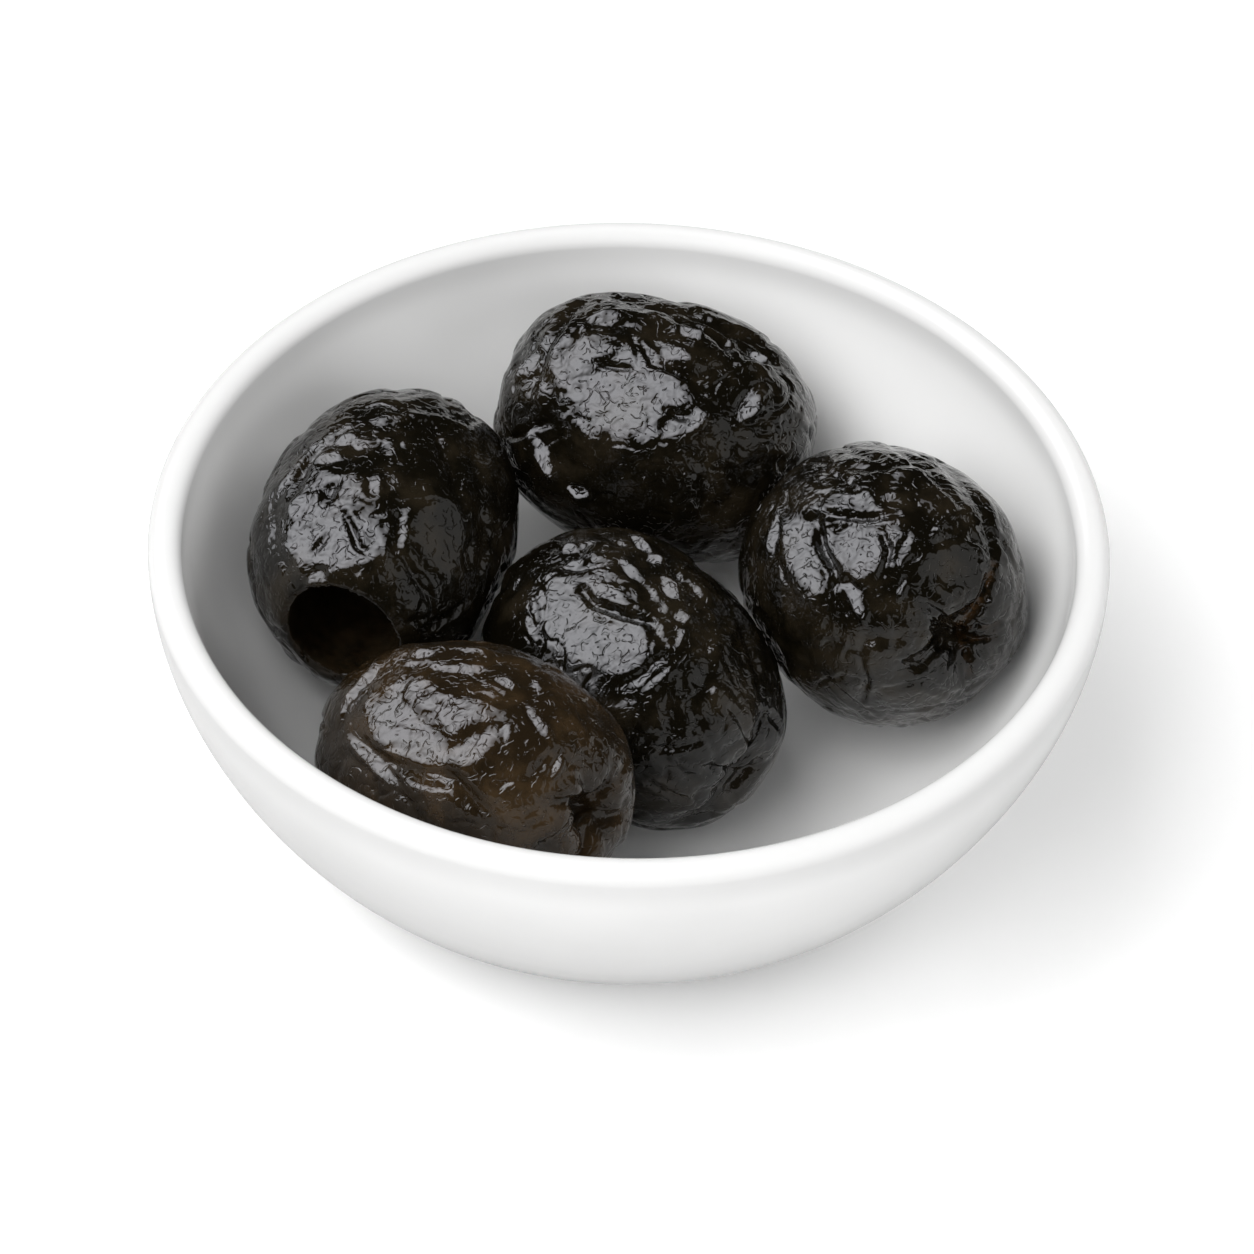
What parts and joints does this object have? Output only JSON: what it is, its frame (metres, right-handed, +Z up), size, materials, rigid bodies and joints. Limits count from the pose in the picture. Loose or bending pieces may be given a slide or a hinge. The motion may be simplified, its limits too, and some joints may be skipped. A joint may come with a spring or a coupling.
{
  "type": "dish of olives",
  "caption": "Small round white glazed dish holding large wrinkled black pitted olives, for a snack or side.",
  "frame": {"origin": "middle of the foot ring, on the surface the dish stands on", "axes": "+Z up through the middle of the dish; +Y away from the viewer of the picture; +X to the viewer's right"},
  "size_m": [0.08, 0.08, 0.0321],
  "materials": {
    "glaze": "smooth glossy white glaze",
    "black_skin": "wet glossy wrinkled olive skin, nearly black",
    "brown_skin": "wet glossy wrinkled olive skin, dark brown",
    "brine": "clear wet film of brine"
  },
  "bodies": {
    "root": {"dish": "glaze", "olive_left": "black_skin", "olive_back": "black_skin", "olive_middle": "black_skin", "olive_front": "brown_skin", "olive_right": "black_skin"}
  },
  "joints": []
}
